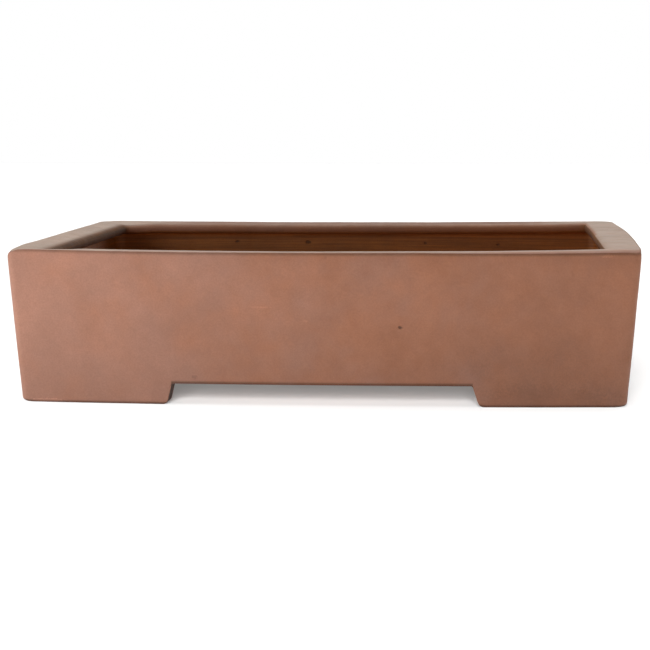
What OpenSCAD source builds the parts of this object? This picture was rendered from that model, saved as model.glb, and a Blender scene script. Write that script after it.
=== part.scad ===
// Rectangular bonsai pot of unglazed stoneware, built from slabs luted face to face:
// a floor, four leaning walls, four rim strips that turn inward, and four corner feet.
// X runs along the long walls, Y runs from front to back, Z is up.
// The origin is under the pot's middle, on the surface that the feet stand on.

/* [Overall size] */
// Width between the rim's corners, along X
pot_w = 420; // [340:1:480]
// Depth between the rim's corners, along Y
pot_d = 322; // [260:1:380]
// Height of the rim's top above the feet's soles
pot_h = 105; // [80:1:140]

/* [Walls] */
// Thickness of a wall slab
wall_t = 12; // [9:0.5:14]
// Outward lean of every wall from the vertical, in degrees
wall_lean = 3.8; // [1:0.1:8]
// How far the middle of a long wall bows out past its corners
long_bow = 9; // [4:0.5:14]
// How far the middle of a short wall bows out past its corners
short_bow = 4.5; // [2:0.5:8]
// Radius of the four upright corners
corner_r = 5; // [3:0.5:8]

/* [Rim] */
// Width of the rim strip, from the outer face to the inner lip
rim_w = 23; // [18:0.5:30]
// Thickness of the rim strip, rounded to a half circle at its inner lip
rim_t = 8; // [6:0.5:10]
// Radius on the rim's outer top edge
rim_edge_r = 1.2; // [0.5:0.1:2]

/* [Floor] */
// Thickness of the floor slab
floor_t = 10; // [8:0.5:14]
// Diameter of a drainage hole
drain_d = 36; // [20:1:45]
// Distance between the two drainage holes
drain_pitch = 170; // [100:5:220]
// Diameter of a hole for the wire that ties the tree down
wire_d = 6; // [4:0.5:8]
// Distance between the wire holes along X
wire_pitch_x = 90; // [60:5:110]
// Distance between the wire holes along Y
wire_pitch_y = 150; // [80:5:170]

/* [Feet] */
// Height of the feet, and so of the gap under the walls
foot_h = 14; // [10:0.5:20]
// Thickness of a foot's arm, from its outer face inward
foot_t = 18; // [16:0.5:24]
// Length of a foot's arm along a long wall, at the wall's lower edge
foot_long = 103.5; // [60:0.5:120]
// Length of a foot's arm along a short wall, at the wall's lower edge
foot_short = 75; // [50:1:90]
// How much shorter an arm is at its sole than at its top
foot_slope = 3; // [0:0.5:6]
// Radius at the lower end of a foot's arm
foot_end_r = 3; // [1:0.5:5]

/* [Hidden] */
$fn = 48;
arc_fn = 1440;
clay = "#8a5b48";
pale_clay = "#a08877";
margin = 20;
// How far the rounding of a foot's end reaches past the faces that it joins
end_overlap = 0.2;
rim_bottom = pot_h - rim_t;
nose_r = rim_t / 2;
half_w = pot_w / 2;
half_d = pot_d / 2;
lean = tan(wall_lean);
// Radius of the arc through a side's two corners and its bowed middle
long_r = (half_w * half_w + long_bow * long_bow) / (2 * long_bow);
short_r = (half_d * half_d + short_bow * short_bow) / (2 * short_bow);
// Half angle of each side's sweep, a little past its corners
long_half_angle = asin((half_w + margin) / long_r);
short_half_angle = asin((half_d + margin) / short_r);

// Distance inward from the rim's outer edge to a wall's outer face, at height z
function outer_u(z) = (pot_h - z) * lean;
// The same to the wall's inner face
function inner_u(z) = outer_u(z) + wall_t;

// Sweeps a profile along the front side. A profile's first axis points inward from
// the rim's outer edge and its second axis points up.
module along_front() {
    translate([0, long_r - half_d - long_bow, 0])
        rotate([0, 0, -90 - long_half_angle])
            rotate_extrude(angle = 2 * long_half_angle, $fn = arc_fn)
                translate([long_r, 0]) mirror([1, 0]) children();
}

// Sweeps a profile along the right side
module along_right() {
    translate([half_w + short_bow - short_r, 0, 0])
        rotate([0, 0, -short_half_angle])
            rotate_extrude(angle = 2 * short_half_angle, $fn = arc_fn)
                translate([short_r, 0]) mirror([1, 0]) children();
}

// Everything nearer the front side than its two mitred corners
module front_wedge() {
    reach = half_w + margin;
    apex = half_w - half_d;
    translate([0, 0, -margin])
        linear_extrude(pot_h + 2 * margin)
            polygon([[-reach, apex - reach], [reach, apex - reach], [0, apex]]);
}

// Everything nearer the right side than its two mitred corners
module right_wedge() {
    reach = half_d + margin;
    apex = half_w - half_d;
    translate([0, 0, -margin])
        linear_extrude(pot_h + 2 * margin)
            polygon([[apex, 0], [apex + reach, -reach], [apex + reach, reach]]);
}

// What the rounded corner takes off along the front right upright edge. The two sides
// bow, so they meet at more than a right angle, and the rounding is tangent to both.
module corner_cutter() {
    tilt = atan(sqrt(2) * lean);
    long_turn = asin(half_w / long_r);
    short_turn = asin(half_d / short_r);
    half_corner = 45 + (long_turn + short_turn) / 2;
    tangent = corner_r / tan(half_corner);
    reach = tangent * cos(half_corner);
    foot_corner = half_w - outer_u(0);
    translate([foot_corner, half_w - half_d - foot_corner, 0])
        rotate([0, 0, -45]) rotate([0, tilt, 0])
            rotate([0, 0, (long_turn - short_turn) / 2])
                translate([0, 0, -margin])
                    linear_extrude(pot_h + 2 * margin)
                        difference() {
                            translate([-reach, -margin / 2]) square([margin, margin]);
                            translate([-corner_r / sin(half_corner), 0]) circle(corner_r);
                        }
}

// Rounds the corners at both ends of a front piece
module front_ends_rounded() {
    difference() {
        children();
        corner_cutter();
        mirror([1, 0, 0]) corner_cutter();
    }
}

// Rounds the corners at both ends of a right piece
module right_ends_rounded() {
    difference() {
        children();
        corner_cutter();
        mirror([0, 1, 0]) corner_cutter();
    }
}

module wall_profile() {
    polygon([
        [outer_u(rim_bottom), rim_bottom],
        [inner_u(rim_bottom), rim_bottom],
        [inner_u(foot_h), foot_h],
        [outer_u(foot_h), foot_h]
    ]);
}

module rim_profile() {
    difference() {
        polygon([
            [0, pot_h],
            [rim_w, pot_h],
            [rim_w, rim_bottom],
            [outer_u(rim_bottom), rim_bottom]
        ]);
        difference() {
            translate([rim_w - nose_r, rim_bottom - margin]) square([margin, rim_t + 2 * margin]);
            translate([rim_w - nose_r, pot_h - nose_r]) circle(nose_r);
        }
        difference() {
            translate([-margin, pot_h - rim_edge_r]) square([margin + rim_edge_r, margin]);
            translate([rim_edge_r, pot_h - rim_edge_r]) circle(rim_edge_r);
        }
    }
}

// All that lies inside a side's outer face, from well below the feet to well above them
module inside_profile() {
    deep = max(foot_long, foot_short) + 2 * margin;
    low = -margin;
    high = foot_h + margin;
    polygon([[outer_u(high), high], [deep, high], [deep, low], [outer_u(low), low]]);
}

// Side view of what is cut away past an arm's free end. The first axis is the distance
// past the end of the arm's top, and the second is up. The end slopes back under the pot.
module past_arm_end() {
    lift = foot_slope * margin / foot_h;
    polygon([
        [-foot_slope - lift, -margin],
        [margin, -margin],
        [margin, foot_h + margin],
        [lift, foot_h + margin]
    ]);
}

// Side view of what rounds an arm's free end where it meets the sole. The circle reaches
// a little past the sole and past the end, so that it meets each in a clear edge.
module arm_end_rounding() {
    slope_angle = atan(foot_slope / foot_h);
    inset = foot_end_r - end_overlap;
    centre_x = -foot_slope - inset * tan(45 - slope_angle / 2);
    reach = 2 * foot_end_r;
    difference() {
        polygon([
            [centre_x, inset],
            [centre_x, -reach],
            [centre_x + reach, -reach],
            [centre_x + reach * cos(slope_angle), inset - reach * sin(slope_angle)]
        ]);
        translate([centre_x, inset]) circle(foot_end_r);
    }
}

// Distance that a side's bow adds past its corners, at a distance from the side's middle
function bow_at(distance, half, bow) = bow * (1 - pow(distance / half, 2));

// Plan of the front right foot: two arms along the walls. It runs past the walls' outer
// faces and past the arms' free ends, which are trimmed afterwards.
module foot_plan() {
    base_x = half_w - outer_u(foot_h);
    base_y = half_d - outer_u(foot_h);
    overrun = margin / 2;
    end_x = base_x - foot_long - overrun;
    end_y = base_y - foot_short - overrun;
    beyond = margin + long_bow;
    polygon([
        [base_x + beyond, -base_y - beyond],
        [end_x, -base_y - beyond],
        [end_x, foot_t - base_y - bow_at(end_x, half_w, long_bow)],
        [base_x - foot_t, foot_t - base_y],
        [base_x - foot_t + bow_at(end_y, half_d, short_bow), -end_y],
        [base_x + beyond, -end_y]
    ]);
}

module front_wall() {
    color(clay) front_ends_rounded() intersection() {
        along_front() wall_profile();
        front_wedge();
    }
}

module right_wall() {
    color(clay) right_ends_rounded() intersection() {
        along_right() wall_profile();
        right_wedge();
    }
}

module front_rim() {
    color(pale_clay) front_ends_rounded() intersection() {
        along_front() rim_profile();
        front_wedge();
    }
}

module right_rim() {
    color(pale_clay) right_ends_rounded() intersection() {
        along_right() rim_profile();
        right_wedge();
    }
}

// Stands a side view up at the free end of the arm along the front
module at_long_arm_end() {
    translate([half_w - outer_u(foot_h) - foot_long, 0, 0])
        mirror([1, 0, 0]) rotate([90, 0, 0]) linear_extrude(pot_d) children();
}

// Stands a side view up at the free end of the arm along the right
module at_short_arm_end() {
    translate([0, foot_short + outer_u(foot_h) - half_d, 0])
        rotate([90, 0, 90]) linear_extrude(pot_w) children();
}

module front_right_foot() {
    color(clay) difference() {
        intersection() {
            along_front() inside_profile();
            along_right() inside_profile();
            linear_extrude(foot_h) foot_plan();
        }
        at_long_arm_end() past_arm_end();
        at_long_arm_end() arm_end_rounding();
        at_short_arm_end() past_arm_end();
        at_short_arm_end() arm_end_rounding();
        corner_cutter();
    }
}

// A disc whose edge is the inner face of a side, at the height of the floor
module floor_reach(radius) {
    low_r = radius - inner_u(foot_h);
    high_r = radius - inner_u(foot_h + floor_t);
    cylinder(h = floor_t, r1 = low_r, r2 = high_r, $fn = arc_fn);
}

module drain_holes() {
    for (side = [-1, 1])
        translate([side * drain_pitch / 2, 0, foot_h - margin])
            cylinder(h = floor_t + 2 * margin, d = drain_d);
}

module wire_holes() {
    for (x = [-1, 1], y = [-1, 1])
        translate([x * wire_pitch_x / 2, y * wire_pitch_y / 2, foot_h - margin])
            cylinder(h = floor_t + 2 * margin, d = wire_d);
}

module floor_slab() {
    long_centre = long_r - half_d - long_bow;
    short_centre = short_r - half_w - short_bow;
    color(clay) difference() {
        intersection() {
            translate([0, long_centre, foot_h]) floor_reach(long_r);
            translate([0, -long_centre, foot_h]) floor_reach(long_r);
            translate([short_centre, 0, foot_h]) floor_reach(short_r);
            translate([-short_centre, 0, foot_h]) floor_reach(short_r);
        }
        drain_holes();
        wire_holes();
    }
}

module back_wall() { rotate([0, 0, 180]) front_wall(); }
module left_wall() { rotate([0, 0, 180]) right_wall(); }
module back_rim() { rotate([0, 0, 180]) front_rim(); }
module left_rim() { rotate([0, 0, 180]) right_rim(); }
module front_left_foot() { mirror([1, 0, 0]) front_right_foot(); }
module back_left_foot() { rotate([0, 0, 180]) front_right_foot(); }
module back_right_foot() { mirror([0, 1, 0]) front_right_foot(); }

floor_slab();
front_wall();
back_wall();
left_wall();
right_wall();
front_rim();
back_rim();
left_rim();
right_rim();
front_left_foot();
front_right_foot();
back_left_foot();
back_right_foot();
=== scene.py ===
"""The bonsai pot's looks: one smooth clay skin, cut into a closed piece for each CAD node.

The pot starts as a block with upright sides: flat tiles in plan, cut into layers by height, where
every tile of every layer belongs to one piece or is empty. The block's points are then rounded at
the edges and bent to the pot's real shape, so neighbouring pieces share their points exactly.
Lengths are in millimetres until the meshes are made.
"""

import math

import bpy
import numpy as np
from mathutils import Matrix, Vector


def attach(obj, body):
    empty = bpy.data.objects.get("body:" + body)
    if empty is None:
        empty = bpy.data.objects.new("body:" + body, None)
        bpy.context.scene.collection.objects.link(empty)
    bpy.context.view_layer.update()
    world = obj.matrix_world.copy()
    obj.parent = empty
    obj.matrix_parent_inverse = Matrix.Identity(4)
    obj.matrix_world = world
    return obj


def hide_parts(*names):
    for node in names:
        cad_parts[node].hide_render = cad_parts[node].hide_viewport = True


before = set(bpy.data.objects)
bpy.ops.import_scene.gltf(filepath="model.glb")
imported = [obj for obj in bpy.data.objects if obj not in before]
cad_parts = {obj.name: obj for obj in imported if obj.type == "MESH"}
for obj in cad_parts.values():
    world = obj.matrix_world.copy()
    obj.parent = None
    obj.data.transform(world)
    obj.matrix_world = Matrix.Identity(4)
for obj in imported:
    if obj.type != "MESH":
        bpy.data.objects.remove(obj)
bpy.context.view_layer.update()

MM = 0.001

# ---------------------------------------------------------------- sizes
HALF_W = 210.0
HALF_D = 161.0
HEIGHT = 105.0
LEFT_LEAN = math.tan(math.radians(3.76))
RIGHT_LEAN = math.tan(math.radians(4.15))
# the walls turn upright over this much of their top
UPRIGHT = 11.0
WALL_T = 12.0
RIM_W = 23.0
RIM_T = 8.0
RIM_LOW = HEIGHT - RIM_T
FOOT_H = 14.0
FLOOR_TOP = FOOT_H + 10.0
FOOT_T = 18.0
LONG_ARM_END = 99.2
SHORT_ARM_END = 79.8
# how far the feet's ends slope back towards the sole
LEFT_FOOT_SLOPE = 3.6
RIGHT_FOOT_SLOPE = 4.5
# how much further from the middle the front right foot ends
RIGHT_FOOT_SHIFT = 1.0
DRAIN_X = 85.0
DRAIN_R = 18.0
WIRE_X = 45.0
WIRE_Y = 75.0
WIRE_R = 3.0

LONG_BOW = 8.5
LEFT_BOW = -1.0
RIGHT_BOW = 3.4
# how far the corners stand out past the plan's rectangle on the left and on the right
LEFT_OUT = -0.1
RIGHT_OUT = -1.2
# how much of its outer edge's bow the right rim's inner lip lacks
LIP_STRAIGHT = 0.8
# how far the dried rim stands below its full height, at its corners and at mid-length
FRONT_LEFT_DROP = 1.3
FRONT_RIGHT_DROP = 0.7
BACK_LEFT_DROP = 0.3
BACK_RIGHT_DROP = 0.0
FRONT_SAG = 1.8
BACK_SAG = 1.5
# how far the front rim's outer edge is tipped down below its lip, at its right end
FRONT_TIP = 1.6
# how far the left, back and front rims slope down to their inner lips
LEFT_SLOPE = 2.2
BACK_SLOPE = 0.9
FRONT_SLOPE = 0.5
# how far the front left corner, and the left rim's outer edge behind it, are worn down
CORNER_WEAR = 0.2
SIDE_WEAR = 1.3
# how far slow unevenness moves the walls, and half of how far it lowers the rims
WALL_WAVES = 0.25
RIM_WAVES = 0.12
# how much shorter the unevenness is up a wall than along it
WAVE_SQUEEZE = 1.3

# radii of the rounded edges, and of the upright corners in plan at some depths in from the outer face
SOLE_R = 3.0
LONG_SOLE_R = 1.1
FOOT_INNER_R = 1.5
FOOT_END_R = 1.0
LEFT_END_SOLE_R = 2.6
RIGHT_END_SOLE_R = 3.2
ARM_ROOT_R = 1.4
CUTOUT_R = 1.1
RIM_R = 1.0
LIP_R = 3.95
UNDER_RIM_R = 3.0
FLOOR_FILLET_R = 7.0
DRAIN_EDGE_R = 1.5
WIRE_EDGE_R = 0.8
CORNER_DEPTHS = [0, WALL_T, FOOT_T, RIM_W, 45]
CORNER_RADII = [5, 8, 5, 3, 0]
# how much larger the rim's edge radius is at the worn corners, and how far along the rims that reaches
LEFT_CORNER_WORN_R = 4.6
RIGHT_CORNER_WORN_R = 2.4
SHORT_RIM_REACH = 16.0
LONG_RIM_REACH = 10.0

PIECES = [
    "floor_slab",
    "front_wall",
    "back_wall",
    "left_wall",
    "right_wall",
    "front_rim",
    "back_rim",
    "left_rim",
    "right_rim",
    "front_left_foot",
    "front_right_foot",
    "back_left_foot",
    "back_right_foot",
]
NUMBER = {name: i for i, name in enumerate(PIECES)}
EMPTY = -1
# the longest side of a tile or layer, for smooth bends
TILE_STEP = 5.0


# ---------------------------------------------------------------- the block's tiles and layers
def filled(marks, step):
    """Sorted marks, with evenly spaced ones added wherever two are more than a step apart."""
    marks = sorted(set(round(m, 4) for m in marks))
    out = [marks[0]]
    for low, high in zip(marks, marks[1:]):
        parts = math.ceil((high - low) / step)
        out += [low + (high - low) * i / parts for i in range(1, parts + 1)]
    return np.array(out)


def around(centre, distances):
    return [centre + side * d for d in distances for side in (-1, 1)]


def both_ways(marks):
    return filled([side * m for m in marks for side in (-1, 1)], TILE_STEP)


# depths in from an outer face, for the roundings, wall, fillets, foot and lip
DEPTHS = [0, 0.4, 0.9, 1.6, 2.6, 3.8, 5, 8, 12, 12.6, 13.5, 15, 16.5, 18, 19, 20.4, 21.7, 22.6, 23, 26]
LOW_MARKS = [0, 0.4, 1, 2, 3.5, 6, 9, 11, 12.2, 13.2, 14, 14.4, 15, 16.5, 19, 22, 23, 23.6, 24]
FILLET_MARKS = [24.6, 25.5, 27, 28.5, 30, 31, 33]
# heights above the rim's underside
RIM_MARKS = [-4, -3, -1.5, -0.6, 0, 0.4, 1.3, 2.6, 4, 5.4, 6.4, 7.1, 7.6, 8]
END_STEPS = [0, 0.5, 1.2, 2.2, 3.8]
# distances from a hole's middle, out to where its rings meet the square tiles
DRAIN_RINGS = [12, 15, 16.5, 18, 18.5, 19.2, 21, 25, 30]
WIRE_RINGS = [1, 3, 3.6, 4.6, 6.5, 9]

xs = both_ways(
    [0]
    + [HALF_W - d for d in DEPTHS]
    + around(LONG_ARM_END, END_STEPS)
    + around(DRAIN_X, DRAIN_RINGS)
    + around(WIRE_X, WIRE_RINGS)
)
ys = both_ways(
    [0]
    + [HALF_D - d for d in DEPTHS]
    + around(SHORT_ARM_END, END_STEPS)
    + DRAIN_RINGS
    + around(WIRE_Y, WIRE_RINGS)
)
zs = filled(LOW_MARKS + FILLET_MARKS + [RIM_LOW + m for m in RIM_MARKS], TILE_STEP)
levels = len(zs)


def plan_tiles():
    """Anticlockwise tiles over the plan. One on a corner's diagonal is cut along it in two."""
    tiles = []
    for i in range(len(xs) - 1):
        for j in range(len(ys) - 1):
            a = i * len(ys) + j
            b, c, d = a + len(ys), a + len(ys) + 1, a + 1
            mid_x, mid_y = (xs[i] + xs[i + 1]) / 2, (ys[j] + ys[j + 1]) / 2
            in_x, in_y = HALF_W - abs(mid_x), HALF_D - abs(mid_y)
            if abs(in_x - in_y) > 0.001 or in_x > RIM_W:
                tiles.append((a, b, c, d))
            elif mid_x * mid_y > 0:
                tiles += [(a, b, c), (a, c, d)]
            else:
                tiles += [(a, b, d), (b, c, d)]
    return tiles


plan_x, plan_y = (c.ravel() for c in np.meshgrid(xs, ys, indexing="ij"))
tiles = plan_tiles()


def owners():
    """The piece that owns each tile (row) in each layer (column)."""
    x = np.array([plan_x[list(t)].mean() for t in tiles])[:, None]
    y = np.array([plan_y[list(t)].mean() for t in tiles])[:, None]
    z = ((zs[1:] + zs[:-1]) / 2)[None, :]
    in_x, in_y = HALF_W - abs(x), HALF_D - abs(y)
    depth = np.minimum(in_x, in_y)

    def side(kind):
        across = np.where(x > 0, NUMBER["right_" + kind], NUMBER["left_" + kind])
        along = np.where(y > 0, NUMBER["back_" + kind], NUMBER["front_" + kind])
        return np.where(in_x < in_y, across, along)

    drain = (abs(abs(x) - DRAIN_X) < DRAIN_R) & (abs(y) < DRAIN_R)
    wire = (abs(abs(x) - WIRE_X) < WIRE_R) & (abs(abs(y) - WIRE_Y) < WIRE_R)
    arm = ((in_y < FOOT_T) & (abs(x) > LONG_ARM_END)) | ((in_x < FOOT_T) & (abs(y) > SHORT_ARM_END))
    foot = NUMBER["front_left_foot"] + (x > 0) + 2 * (y > 0)
    owner = np.full((len(tiles), levels - 1), EMPTY)
    owner = np.where((z > RIM_LOW) & (depth < RIM_W), side("rim"), owner)
    owner = np.where((z > FOOT_H) & (z < RIM_LOW) & (depth < WALL_T), side("wall"), owner)
    in_floor = (z > FOOT_H) & (z < FLOOR_TOP) & (depth > WALL_T) & ~drain & ~wire
    owner = np.where(in_floor, NUMBER["floor_slab"], owner)
    return np.where((z < FOOT_H) & arm, foot, owner)


owner = owners()
# each piece's faces as rows of point numbers, with whether nothing lies on their other side
piece_faces = {name: [] for name in PIECES}


def add_faces(this, other, corners):
    """Adds each face where the owner on this side isn't the owner on the other side."""
    edge = (this != other) & (this != EMPTY)
    for number in np.unique(this[edge]):
        pick = edge & (this == number)
        rows = np.stack([np.broadcast_to(c, pick.shape)[pick] for c in corners], axis=-1)
        piece_faces[PIECES[number]].append((rows, other[pick] == EMPTY))


def add_flat_faces():
    """The faces that lie level, between one layer and the next."""
    gap = np.full((len(tiles), 1), EMPTY)
    below = np.concatenate([gap, owner], 1)
    above = np.concatenate([owner, gap], 1)
    for count in (3, 4):
        rows = np.array([r for r, t in enumerate(tiles) if len(t) == count])
        plan = np.array([t for t in tiles if len(t) == count])
        corners = [plan[:, [c]] * levels + np.arange(levels)[None, :] for c in range(count)]
        add_faces(below[rows], above[rows], corners)
        add_faces(above[rows], below[rows], corners[::-1])


def add_upright_faces():
    """The faces that stand on the plan's edges."""
    left_of = {}
    for row, tile in enumerate(tiles):
        for a, b in zip(tile, tile[1:] + tile[:1]):
            left_of[a, b] = row
    padded = np.concatenate([owner, np.full((1, levels - 1), EMPTY)])
    edges = np.array([(a, b, row, left_of.get((b, a), len(tiles))) for (a, b), row in left_of.items()])
    a, b = (edges[:, [c]] * levels + np.arange(levels - 1)[None, :] for c in (0, 1))
    add_faces(padded[edges[:, 2]], padded[edges[:, 3]], [a, b, b + 1, a + 1])


add_flat_faces()
add_upright_faces()


# ---------------------------------------------------------------- the pot's real shape
def rise(value, start, end):
    """Eases from 0 to 1 as the value goes from start to end."""
    t = np.clip((value - start) / (end - start), 0, 1)
    return t * t * (3 - 2 * t)


def fall(value, start, end):
    """Eases from 1 to 0 as the value goes from start to end."""
    return 1 - rise(value, start, end)


def rounded(p, q, radius):
    """Wraps square rings round a corner into circles. p and q are the distances from its two faces."""
    near = (p > -1e-6) & (q > -1e-6) & (p < radius) & (q < radius)
    over_p, over_q = radius - p, radius - q
    shrink = np.maximum(over_p, over_q) / np.maximum(np.hypot(over_p, over_q), 1e-9)
    return np.where(near, radius - over_p * shrink, p), np.where(near, radius - over_q * shrink, q)


def waves(u, v, seed):
    """Slow unevenness between about -1 and 1, the same in every run."""
    rng = np.random.default_rng(seed)
    total = 0
    # each wave's length in mm, and its share of the unevenness
    for length, size in ((170, 0.5), (95, 0.3), (52, 0.2), (29, 0.08)):
        for _ in range(2):
            angle, phase = rng.uniform(0, 2 * math.pi, 2)
            along = u * math.cos(angle) + v * math.sin(angle)
            total = total + size * np.sin(along * 2 * math.pi / length + phase)
    return total / 1.3


def on_rings(in_x, in_y, change):
    """Moves points between the rings that run round the pot, keeping them in order at the corners."""
    depth = np.minimum(in_x, in_y)
    along = np.maximum(in_x, in_y) - depth
    new = change(depth, along)
    far = depth + along + (new - depth) * fall(along, 0, 20)
    return np.where(in_x <= in_y, new, far), np.where(in_x <= in_y, far, new)


def shaped(x, y, z):
    """Bends the block's points to the pot's real shape."""
    side_x, side_y = np.where(x < 0, -1, 1), np.where(y < 0, -1, 1)
    in_x, in_y = HALF_W - abs(x), HALF_D - abs(y)

    # soft edges round the feet, the cut-outs between them, the rim and the floor
    height = z.copy()
    on_short_side = in_x <= in_y
    past_end = np.where(in_y <= in_x, HALF_W - in_x - LONG_ARM_END, HALF_D - in_y - SHORT_ARM_END)
    over_gap = fall(past_end, -1, 1)
    worn_r = np.where(side_x < 0, LEFT_CORNER_WORN_R, RIGHT_CORNER_WORN_R)
    worn_reach = np.where(on_short_side, SHORT_RIM_REACH, LONG_RIM_REACH)

    def round_edges(depth, along):
        nonlocal height
        long_sole_r = SOLE_R + (LONG_SOLE_R - SOLE_R) * rise(along, 0, 9)
        depth, height = rounded(depth, height, np.where(on_short_side, SOLE_R, long_sole_r))
        inner, height = rounded(FOOT_T - depth, height, FOOT_INNER_R)
        depth = FOOT_T - inner
        depth, up = rounded(depth, height - FOOT_H, CUTOUT_R * over_gap)
        height = FOOT_H + up
        depth, down = rounded(depth, HEIGHT - height, RIM_R + worn_r * fall(along, 0, worn_reach))
        height = HEIGHT - down
        inner, down = rounded(RIM_W - depth, HEIGHT - height, LIP_R)
        depth, height = RIM_W - inner, HEIGHT - down
        inner, up = rounded(RIM_W - depth, height - RIM_LOW, LIP_R)
        depth, height = RIM_W - inner, RIM_LOW + up
        inner, down = rounded(depth - WALL_T, RIM_LOW - height, UNDER_RIM_R)
        depth, height = WALL_T + inner, RIM_LOW - down
        inner, up = rounded(depth - WALL_T, height - FLOOR_TOP, FLOOR_FILLET_R)
        depth, height = WALL_T + inner, FLOOR_TOP + up
        return depth

    in_x, in_y = on_rings(in_x, in_y, round_edges)

    # the free ends of the feet's arms
    right_front = (side_x > 0) & (side_y < 0)
    end_slope = np.where(right_front, RIGHT_FOOT_SLOPE, LEFT_FOOT_SLOPE)
    end_sole_r = np.where(right_front, RIGHT_END_SOLE_R, LEFT_END_SOLE_R)
    for long_arm in (True, False):
        across, end = (in_y, LONG_ARM_END) if long_arm else (in_x, SHORT_ARM_END)
        reach = HALF_W - in_x if long_arm else HALF_D - in_y
        past = reach - end
        upright_r = np.where(height < FOOT_H - 0.01, FOOT_END_R, 0.0)
        across, past = rounded(across, past, upright_r)
        inner, past = rounded(FOOT_T - across, past, upright_r)
        across = FOOT_T - inner
        past, height = rounded(past, height, end_sole_r)
        in_arm = fall(across, FOOT_T, FOOT_T + 1)
        before, down = rounded(-past, FOOT_H - height, ARM_ROOT_R * in_arm)
        past, height = -before, FOOT_H - down
        slope = end_slope * np.clip(1 - height / FOOT_H, 0, 1) * fall(past, 0, 40)
        shift = RIGHT_FOOT_SHIFT * right_front * long_arm * fall(abs(past), 0, 30)
        shift = shift * fall(height, FOOT_H, FOOT_H + 20)
        reach = end + past + (slope + shift) * in_arm
        if long_arm:
            in_x, in_y = HALF_W - reach, across
        else:
            in_x, in_y = across, HALF_D - reach

    # the upright corners in plan
    depth = np.minimum(in_x, in_y)
    radius = np.interp(depth, CORNER_DEPTHS, CORNER_RADII)
    near, far = rounded(np.zeros_like(depth), np.maximum(in_x, in_y) - depth, radius)
    in_x, in_y = (
        np.where(in_x <= in_y, depth + near, depth + far),
        np.where(in_x <= in_y, depth + far, depth + near),
    )

    x, y = HALF_W - in_x, HALF_D - in_y

    # the holes, square rings turned into round ones
    for hole_x, hole_y, hole_r, rings, edge_r in (
        (DRAIN_X, 0, DRAIN_R, DRAIN_RINGS, DRAIN_EDGE_R),
        (WIRE_X, WIRE_Y, WIRE_R, WIRE_RINGS, WIRE_EDGE_R),
    ):
        off_x, off_y, last_r = x - hole_x, y - hole_y, rings[-1]
        ring = np.maximum(abs(off_x), abs(off_y))
        new, down = rounded(ring - hole_r, FLOOR_TOP - height, edge_r)
        near_floor = (ring < last_r) & (height > FOOT_H - 1) & (height < FLOOR_TOP + 1)
        height = np.where(near_floor, FLOOR_TOP - down, height)
        new = np.where(near_floor, new + hole_r, ring)
        circle = np.maximum(np.hypot(off_x, off_y), 1e-9)
        share = fall(ring, hole_r, last_r)
        scale = new / np.maximum(ring, 1e-9) * (1 - share) + new / circle * share
        scale = np.where(ring < last_r, scale, 1)
        x, y = hole_x + off_x * scale, hole_y + off_y * scale

    # lean, bow and the unevenness of a hand-pressed, dried and fired wall
    far_x, far_y = x / HALF_W, y / HALF_D
    outward_x, outward_y = rise(x, 125, 185), rise(y, 95, 135)
    below = HEIGHT - height
    lean = LEFT_LEAN * np.where(below < UPRIGHT, below**2 / (2 * UPRIGHT), below - UPRIGHT / 2)
    side_lean = lean * np.where(side_x < 0, 1, RIGHT_LEAN / LEFT_LEAN)
    lip_share = rise(HALF_W - x, 8, 22) * fall(below, RIM_T, RIM_T + 10)
    side_bow = np.where(side_x < 0, LEFT_BOW, RIGHT_BOW * (1 - LIP_STRAIGHT * lip_share)) * (1 - far_y**2)
    long_bow = LONG_BOW * (1 - far_x**2)
    x_waves = WALL_WAVES * waves(side_y * y, height * WAVE_SQUEEZE, 11)
    y_waves = WALL_WAVES * waves(side_x * x, height * WAVE_SQUEEZE, 12)
    side_out = np.where(side_x < 0, LEFT_OUT, RIGHT_OUT)
    new_x = side_x * (x + outward_x * (side_out + side_bow - side_lean + x_waves))
    new_y = side_y * (y + outward_y * (long_bow - lean + y_waves))

    # the rims' drop, tip, slopes and wear, fading out down the walls to the floor's height
    right, back = new_x / HALF_W / 2 + 0.5, new_y / HALF_D / 2 + 0.5
    front_drop = FRONT_LEFT_DROP * (1 - right) + FRONT_RIGHT_DROP * right + FRONT_SAG * (1 - far_x**2)
    back_drop = BACK_LEFT_DROP * (1 - right) + BACK_RIGHT_DROP * right + BACK_SAG * (1 - far_x**2)
    drop = front_drop * (1 - back) + back_drop * back
    outer = np.clip(1 - (HALF_D - y) / RIM_W, 0, 1)
    drop = drop + FRONT_TIP * rise(right, 0.55, 1) * outer * (side_y < 0)
    in_x, in_y = HALF_W - x, HALF_D - y
    left_lip = rise(in_x, 8, 23) * fall(in_x, RIM_W, RIM_W + 28) * rise(in_y, 4, 20)
    long_lip = rise(in_y, 5, 23) * fall(in_y, RIM_W, RIM_W + 20) * rise(in_x, 8, 58)
    drop = drop + LEFT_SLOPE * left_lip * (side_x < 0)
    drop = drop + np.where(side_y < 0, FRONT_SLOPE, BACK_SLOPE) * long_lip
    behind_corner = rise(in_y, 0, 10) * fall(in_y, 12, 47) * fall(in_x, 0, 18)
    wear = CORNER_WEAR * fall(np.hypot(in_x, in_y), 0, 22) + SIDE_WEAR * behind_corner
    drop = drop + wear * (side_x < 0) * (side_y < 0)
    drop = drop + RIM_WAVES * (1 + waves(new_x, new_y, 13))
    new_z = height - drop * np.clip((height - FLOOR_TOP) / (HEIGHT - FLOOR_TOP), 0, 1)
    return np.stack([new_x, new_y, new_z], axis=-1)


used = np.unique(np.concatenate([rows.ravel() for parts in piece_faces.values() for rows, _ in parts]))
points = np.zeros((len(plan_x) * levels, 3))
points[used] = shaped(plan_x[used // levels], plan_y[used // levels], zs[used % levels]) * MM


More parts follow.
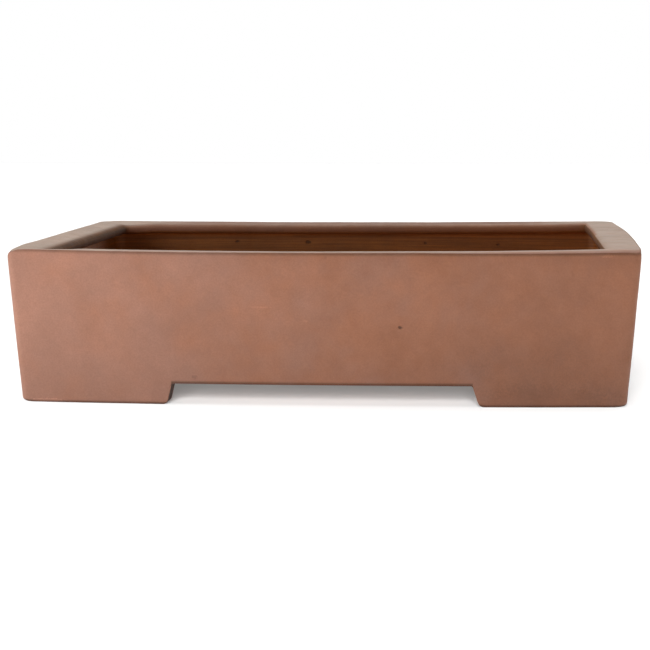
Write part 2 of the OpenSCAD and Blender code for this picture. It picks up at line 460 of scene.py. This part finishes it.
def face_normals(rows):
    corners = points[rows]
    if rows.shape[1] == 3:
        return np.cross(corners[:, 1] - corners[:, 0], corners[:, 2] - corners[:, 0])
    return np.cross(corners[:, 2] - corners[:, 0], corners[:, 3] - corners[:, 1])


skin_normals = np.zeros_like(points)
for parts in piece_faces.values():
    for rows, is_skin in parts:
        normals = face_normals(rows[is_skin])
        for column in range(rows.shape[1]):
            np.add.at(skin_normals, rows[is_skin][:, column], normals)
skin_normals /= np.maximum(np.linalg.norm(skin_normals, axis=1, keepdims=True), 1e-12)


def zones(numbers):
    """For each point, how much it is rim top (pale clay with a painted sheen), pot inside (painted shade),
    and other painted shade, for the clay's colour.

    A factor of rise or fall says over which millimetres something begins or ends, and a plain
    number in front says how strong it is.
    """
    numbers = np.array(numbers)
    x, y, z = plan_x[numbers // levels], plan_y[numbers // levels], zs[numbers % levels]
    in_x, in_y = HALF_W - abs(x), HALF_D - abs(y)
    depth, below = np.minimum(in_x, in_y), HEIGHT - z
    front, back, on_top = y < 0, y > 0, below < 1
    in_rim = below < RIM_T + 0.1
    inner_side = (depth > WALL_T - 0.1) & (z > FOOT_H + 1)
    on_side = rise(in_y - in_x, -6, 6)
    front_middle, back_middle = rise(x, -160, -100), fall(abs(x), 120, 200)

    # the pale rim top, pale clay with a painted sheen, made less pale along the front's outer edge and the
    # back's by painted shade
    top = rise(depth, 0.3, 1.1) * fall(below, 0.5, 3.5) * (1 - 0.8 * back * rise(depth, 20, 23))
    top *= 1 - (0.35 + 0.5 * rise(x, 75, 135)) * front * front_middle * fall(in_y, 6, 16)
    top *= 1 - 0.6 * back * back_middle * fall(in_y, 17, 25)

    # the inside's painted shade begins on the lip's top at the left, and further down it at the other sides
    side_lip = np.where(x < 0, rise(depth, 16.5, 22), rise(below, 0.1, 1))
    long_lip = np.where(back, 0.25 + 0.75 * rise(below, 5.5, 7.5), rise(below, 1, 4))
    inside = inner_side * (on_side * side_lip + (1 - on_side) * long_lip * (depth > 18))
    inside = np.where(inner_side & ~in_rim, 1.0, inside)

    # painted shade on the lips at the sides and the back, the soles, the rim's outer edge, and the top of
    # the walls
    side_nose = np.where(x < 0, 1.6 * rise(depth, 14.5, 23), 1.3 * rise(below, 0.1, 1))
    back_nose = (0.76 - 0.28 * rise(x, 40, 120)) * back * rise(depth, 16.5, 19)
    nose = in_rim * (on_side * (depth > WALL_T - 0.1) * side_nose + (1 - on_side) * back_nose)
    sole = 1.5 * fall(z, 0.7, 2.2) * (depth < 3)
    rim_line = fall(depth, 0.2, 0.8) * fall(below, 1, 2.4)
    under_rim = 0.3 * np.exp(-below / 3.5) * (depth < 1)

    # painted shade on the walls' lower edges over the gaps, the feet's ends, and the outer parts of the
    # long rims
    past_end = np.where(in_y < in_x, abs(x) - LONG_ARM_END, abs(y) - SHORT_ARM_END)
    lower_edge = 1.4 * (depth < 1.2) * (abs(z - FOOT_H) < 1.1) * (past_end < 0.1)
    foot_end = 2.0 * (depth > 0.8) * (abs(past_end) < 0.1) * (z < FOOT_H + 0.1)
    back_top = 0.8 * back * on_top * back_middle * fall(in_y, 17, 21)
    front_top = (0.15 + 0.3 * rise(x, 60, 120)) * front * on_top * front_middle * fall(in_y, 1, 10)
    painted_shade = np.maximum.reduce(
        [nose, sole, rim_line, under_rim, lower_edge, foot_end, back_top, front_top]
    )
    return np.stack([top, inside, painted_shade], axis=-1).astype(np.float32)


def make_piece(name, material):
    """The closed mesh that stands for a CAD node, shaded smoothly across its seams."""
    rows_list, normals_list = [], []
    for rows, is_skin in piece_faces[name]:
        flat = face_normals(rows)
        flat /= np.maximum(np.linalg.norm(flat, axis=1, keepdims=True), 1e-12)
        for row, skin, normal in zip(rows.tolist(), is_skin, flat):
            rows_list.append(row)
            normals_list += [skin_normals[v] if skin else normal for v in row]
    numbers = sorted({v for row in rows_list for v in row})
    local = {v: i for i, v in enumerate(numbers)}
    mesh = bpy.data.meshes.new(name + "_clay")
    mesh.from_pydata(points[numbers].tolist(), [], [[local[v] for v in row] for row in rows_list])
    mesh.materials.append(material)
    mesh.normals_split_custom_set([tuple(n) for n in normals_list])
    mesh.attributes.new("zones", "FLOAT_VECTOR", "POINT").data.foreach_set("vector", zones(numbers).ravel())
    piece = bpy.data.objects.new(name + "_clay", mesh)
    bpy.context.scene.collection.objects.link(piece)
    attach(piece, "root")
    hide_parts(name)


# ---------------------------------------------------------------- materials
class Nodes:
    """Adds shader nodes to a material. An input is either a plain value or another node's output."""

    def __init__(self, material):
        self.tree = material.node_tree

    def add(self, kind, inputs=(), **settings):
        node = self.tree.nodes.new(kind)
        for name, value in settings.items():
            setattr(node, name, value)
        for socket, value in dict(inputs).items():
            self.put(node.inputs[socket], value)
        return node

    def put(self, socket, value):
        if isinstance(value, bpy.types.NodeSocket):
            self.tree.links.new(value, socket)
        else:
            socket.default_value = value

    def math(self, operation, a, b, clamp=False):
        return self.add("ShaderNodeMath", {0: a, 1: b}, operation=operation, use_clamp=clamp).outputs[0]

    def between(self, value, low, high, at_low=0.0, at_high=1.0):
        """Eases from one number to another as the value goes from low to high."""
        inputs = {"Value": value, "From Min": low, "From Max": high, "To Min": at_low, "To Max": at_high}
        return self.add("ShaderNodeMapRange", inputs, interpolation_type="SMOOTHSTEP").outputs["Result"]

    def noise(self, place, scale, detail=2.0, roughness=0.5, stretch=(1, 1, 1), shift=0.0):
        moved = self.add("ShaderNodeMapping", {"Vector": place, "Scale": stretch, "Location": (shift,) * 3})
        inputs = {"Vector": moved.outputs[0], "Scale": scale, "Detail": detail, "Roughness": roughness}
        return self.add("ShaderNodeTexNoise", inputs).outputs["Fac"]

    def patches(self, place, scale, low, high, detail=4.0, roughness=0.6, shift=0.0):
        """Wanders between two numbers over the surface."""
        return self.between(self.noise(place, scale, detail, roughness, shift=shift), 0.3, 0.7, low, high)

    def mix(self, share, a, b):
        node = self.add("ShaderNodeMix", data_type="RGBA")
        for socket, value in zip((0, 6, 7), (share, a, b)):
            self.put(node.inputs[socket], value)
        return node.outputs[2]

    def scaled(self, colour, factor):
        return self.add("ShaderNodeVectorMath", {0: colour, 3: factor}, operation="SCALE").outputs[0]


# colours, as linear light
RED_CLAY = (0.41, 0.158, 0.078, 1)
GREY_CLAY = (0.39, 0.18, 0.117, 1)
# the rim top's pale clay, lightened further by a painted sheen
PALE_TOP_AND_SHEEN = (0.43, 0.315, 0.24, 1)
# painted shade of the pot's inside, darkest at the left where the left wall's shadow falls
INNER_PAINTED_SHADE = (0.285, 0.103, 0.018, 1)
INNER_PAINTED_SHADE_RIGHT = (0.43, 0.15, 0.025, 1)
# marks on a face: x, z, half width and half height in mm, and the clay's brightness there
FRONT_MARKS = [
    (53, 53, 1.3, 1.1, 0.45),
    (-83.5, 19, 1.6, 1.3, 0.82),
    (-39, 66, 8, 0.6, 1.12),
    (-9, 57, 1.8, 0.7, 1.15),
    (-184, 1.5, 11, 1.2, 1.35),
    (187, 100, 5, 0.9, 1.25),
    (-150, 97, 26, 9, 1.03),
    (150, 6, 40, 9, 0.88),
    (4.5, 99, 1.3, 1.2, 0.86),
]
INNER_PITS = [
    (-97, 88, 1.6, 0.9, 0.5),
    (-38, 87.5, 2.2, 1.3, 0.45),
    (58, 87, 1.5, 0.9, 0.5),
    (117, 86, 1.2, 0.8, 0.6),
]
# a mark darker than this is an open pit
DEEPEST_STAIN = 0.7
# how far in from the front and back of the plan the marks may lie, in mm
FRONT_BAND = 10
BACK_BAND = 30
# heights of the fine grain and the dimples, and the depth of an open pit, in mm
SAND_HEIGHT = 0.06
DIMPLE_HEIGHT = 0.12
PIT_DEPTH = 0.8
# what share of its brightness the clay loses where shade is painted on it, and how much rougher it is there
EDGE_SHADE = 0.42
EDGE_ROUGHNESS = 0.2


def clay_material():
    material = bpy.data.materials.new("fired_clay")
    material.use_nodes = True
    n = Nodes(material)
    shader = material.node_tree.nodes["Principled BSDF"]
    # the place in metres
    place = n.add("ShaderNodeTexCoord").outputs["Object"]
    x, y, z = n.add("ShaderNodeSeparateXYZ", {0: place}).outputs
    amounts = n.add("ShaderNodeAttribute", attribute_name="zones").outputs["Vector"]
    # top is the pale rim top with its painted sheen, inside the painted shade of the inside, and edge the
    # other painted shade
    top, inside, edge = n.add("ShaderNodeSeparateXYZ", {0: amounts}).outputs

    # clay that fired a little redder in some places and greyer in others, and greyer towards the left,
    # partly dustier clay and partly a painted sheen from the left light
    hue = n.math("ADD", n.noise(place, 26, 3, 0.55, shift=3.1), n.between(x, -0.2, 0.15, 0.22, -0.22))
    colour = n.mix(n.between(hue, 0.2, 0.8), RED_CLAY, GREY_CLAY)
    # the rim top's pale clay and painted sheen, patchy with wear
    worn = n.patches(place, 60, 0.8, 1.0, shift=7.7)
    colour = n.mix(n.math("MULTIPLY", top, worn), colour, PALE_TOP_AND_SHEEN)
    # painted shade inside the pot, with the left wall's painted shadow on its left part
    inner = n.mix(n.between(x, -0.05, 0.15), INNER_PAINTED_SHADE, INNER_PAINTED_SHADE_RIGHT)
    colour = n.mix(inside, colour, inner)

    # slow mottling, fine grain, and trowel lines inside
    mottle = n.patches(place, 24, 0.93, 1.07)
    cloud = n.patches(place, 95, 0.965, 1.035, shift=1.7)
    grain = n.between(n.noise(place, 950, 2, 0.6, shift=5.3), 0.25, 0.75, 0.93, 1.07)
    lines = n.noise(place, 10, 3, 0.7, (1, 1, 55), 2.2)
    lines = n.between(n.math("MULTIPLY", n.math("SUBTRACT", lines, 0.5), inside), -0.2, 0.2, 0.72, 1.28)
    bright = n.math("MULTIPLY", n.math("MULTIPLY", mottle, cloud), n.math("MULTIPLY", grain, lines))

    # painted shade: darker low down, darker towards the right end of the walls away from the left light,
    # darker at the left end of the rim's top, and darker still in the other painted shade
    low = n.math("MULTIPLY", n.between(z, 0.008, 0.075, 1.0, 0.0), n.between(x, -0.2, 0.2, 0.13, 0.2))
    face_painted_shade, top_painted_shade = n.between(x, -0.2, 0.2, 1.0, 0.8), n.between(x, -0.2, 0.2, 0.91, 0.94)
    painted_shade_factor = n.math("ADD", face_painted_shade, n.math("MULTIPLY", top, n.math("SUBTRACT", top_painted_shade, face_painted_shade)))
    painted_shade_factor = n.math("MULTIPLY", painted_shade_factor, n.math("SUBTRACT", 1.0, low))
    shade = n.math("MULTIPLY", painted_shade_factor, n.math("SUBTRACT", 1.0, n.math("MULTIPLY", edge, EDGE_SHADE)))
    bright = n.math("MULTIPLY", bright, shade)

    # single marks on the front face, and on the back wall's inner face
    front = n.math("LESS_THAN", y, (FRONT_BAND - HALF_D) * MM)
    inner_back = n.math("MULTIPLY", inside, n.math("GREATER_THAN", y, (HALF_D - BACK_BAND) * MM))
    ragged = n.patches(place, 700, -0.6, 0.6, 2, 0.5)
    pit = 0.0
    for face, marks in ((front, FRONT_MARKS), (inner_back, INNER_PITS)):
        for mark_x, mark_z, half_w, half_h, factor in marks:
            off_x = n.math("DIVIDE", n.math("SUBTRACT", x, mark_x * MM), half_w * MM)
            off_z = n.math("DIVIDE", n.math("SUBTRACT", z, mark_z * MM), half_h * MM)
            away = n.math("ADD", n.math("MULTIPLY", off_x, off_x), n.math("MULTIPLY", off_z, off_z))
            spot = n.between(n.math("ADD", away, ragged), 0.4, 1.4, 1.0, 0.0)
            spot = n.math("MULTIPLY", spot, face)
            bright = n.math("MULTIPLY", bright, n.math("ADD", 1.0, n.math("MULTIPLY", spot, factor - 1)))
            if factor < DEEPEST_STAIN:
                pit = n.math("ADD", pit, spot)

    n.put(shader.inputs["Base Color"], n.scaled(colour, bright))
    rough = n.patches(place, 120, 0.56, 0.68, 3, shift=9.1)
    rough = n.math("ADD", rough, n.math("MULTIPLY", top, -0.06))
    rough = n.math("ADD", rough, n.math("MULTIPLY", edge, EDGE_ROUGHNESS), clamp=True)
    n.put(shader.inputs["Roughness"], rough)

    # fine grain, shallow dimples and the open pits
    sand = n.noise(place, 1300, 3, 0.7, shift=4.4)
    dimples = n.noise(place, 260, 3, 0.6, shift=8.8)
    sand, dimples = n.math("MULTIPLY", sand, SAND_HEIGHT), n.math("MULTIPLY", dimples, DIMPLE_HEIGHT)
    height = n.math("SUBTRACT", n.math("ADD", sand, dimples), n.math("MULTIPLY", pit, PIT_DEPTH))
    bump = n.add("ShaderNodeBump", {"Height": height, "Strength": 1.0, "Distance": MM})
    n.put(shader.inputs["Normal"], bump.outputs[0])
    return material


clay = clay_material()
for piece_name in PIECES:
    make_piece(piece_name, clay)


# ---------------------------------------------------------------- floor, light and camera
FLOOR_REACH = 6.0
floor_mesh = bpy.data.meshes.new("studio_floor")
floor_corners = [(x * FLOOR_REACH, y * FLOOR_REACH, 0) for x, y in ((-1, -1), (1, -1), (1, 1), (-1, 1))]
floor_mesh.from_pydata(floor_corners, [], [(0, 1, 2, 3)])
floor_material = bpy.data.materials.new("studio_floor")
floor_material.use_nodes = True
floor_shader = floor_material.node_tree.nodes["Principled BSDF"]
floor_shader.inputs["Base Color"].default_value = (0.5, 0.5, 0.5, 1)
floor_shader.inputs["Roughness"].default_value = 0.9
# a faint glow, as of a white table lit from all round
floor_shader.inputs["Emission Color"].default_value = (0.95, 1, 1, 1)
floor_shader.inputs["Emission Strength"].default_value = 0.175
floor_mesh.materials.append(floor_material)
studio_floor = bpy.data.objects.new("studio_floor", floor_mesh)
bpy.context.scene.collection.objects.link(studio_floor)

world = bpy.data.worlds.new("studio")
bpy.context.scene.world = world
world.use_nodes = True
sky = Nodes(world)
direction = sky.add("ShaderNodeTexCoord").outputs["Generated"]
up = sky.add("ShaderNodeSeparateXYZ", {0: direction}).outputs[2]
# white round the horizon, and a dark ceiling
sky.put(world.node_tree.nodes["Background"].inputs["Color"], sky.between(up, 0.08, 0.2, 1.0, 0.02))

# what the lamps point at, in metres
POT_MIDDLE = Vector((0, 0, 0.05))


def add_light(name, kind, azimuth, elevation, power, away=1.0, **settings):
    """A lamp that faces the pot. Azimuth 0 is in front of it and 90 is to its left, in degrees."""
    data = bpy.data.lights.new(name, kind)
    data.energy = power
    for key, value in settings.items():
        setattr(data, key, value)
    a, e = math.radians(azimuth), math.radians(elevation)
    towards = Vector((-math.sin(a) * math.cos(e), -math.cos(a) * math.cos(e), math.sin(e)))
    lamp = bpy.data.objects.new(name, data)
    lamp.location = towards * away + POT_MIDDLE
    lamp.rotation_mode = "QUATERNION"
    lamp.rotation_quaternion = (-towards).to_track_quat("-Z", "Y")
    lamp.visible_camera = False
    bpy.context.scene.collection.objects.link(lamp)
    return lamp


add_light("overhead_light", "SUN", 0, 89, 2.07, angle=math.radians(60))
add_light("rear_light", "SUN", 180, 50, 0.9, angle=math.radians(30))
add_light("left_softbox", "AREA", 60, 18, 1.4, away=0.7, size=0.35)
add_light("rear_right_panel", "AREA", -150, 10, 8.9, away=2.5, size=0.8)

# a light from the front on the floor alone, which whitens it and reaches a little way under the pot
table_light = add_light("table_light", "SUN", 0, 16, 12.0, angle=math.radians(24))
lit_by_it = bpy.data.collections.new("lit_by_table_light")
lit_by_it.objects.link(studio_floor)
table_light.light_linking.receiver_collection = lit_by_it

CAMERA_PLACE = (113.0, -1407.1, 191.7)
# the camera's turns, in radians
YAW, PITCH, ROLL = -0.0879, 0.1097, -0.0030
SENSOR_WIDTH = 36
FOCAL_LENGTH = 105.8533

camera_data = bpy.data.cameras.new("camera")
camera_data.sensor_width = SENSOR_WIDTH
camera_data.lens = FOCAL_LENGTH
camera = bpy.data.objects.new("camera", camera_data)
forward = Vector((math.sin(YAW) * math.cos(PITCH), math.cos(YAW) * math.cos(PITCH), -math.sin(PITCH)))
level = Vector((math.cos(YAW), -math.sin(YAW), 0))
upward = level.cross(forward)
sideways = math.cos(ROLL) * level + math.sin(ROLL) * upward
upward = math.cos(ROLL) * upward - math.sin(ROLL) * level
turn = Matrix((sideways, upward, -forward)).transposed().to_4x4()
camera.matrix_world = Matrix.Translation(Vector(CAMERA_PLACE) * MM) @ turn
camera_data.clip_start = 0.05
camera_data.clip_end = 50
bpy.context.scene.collection.objects.link(camera)
bpy.context.scene.camera = camera
bpy.context.scene.view_settings.view_transform = "Standard"
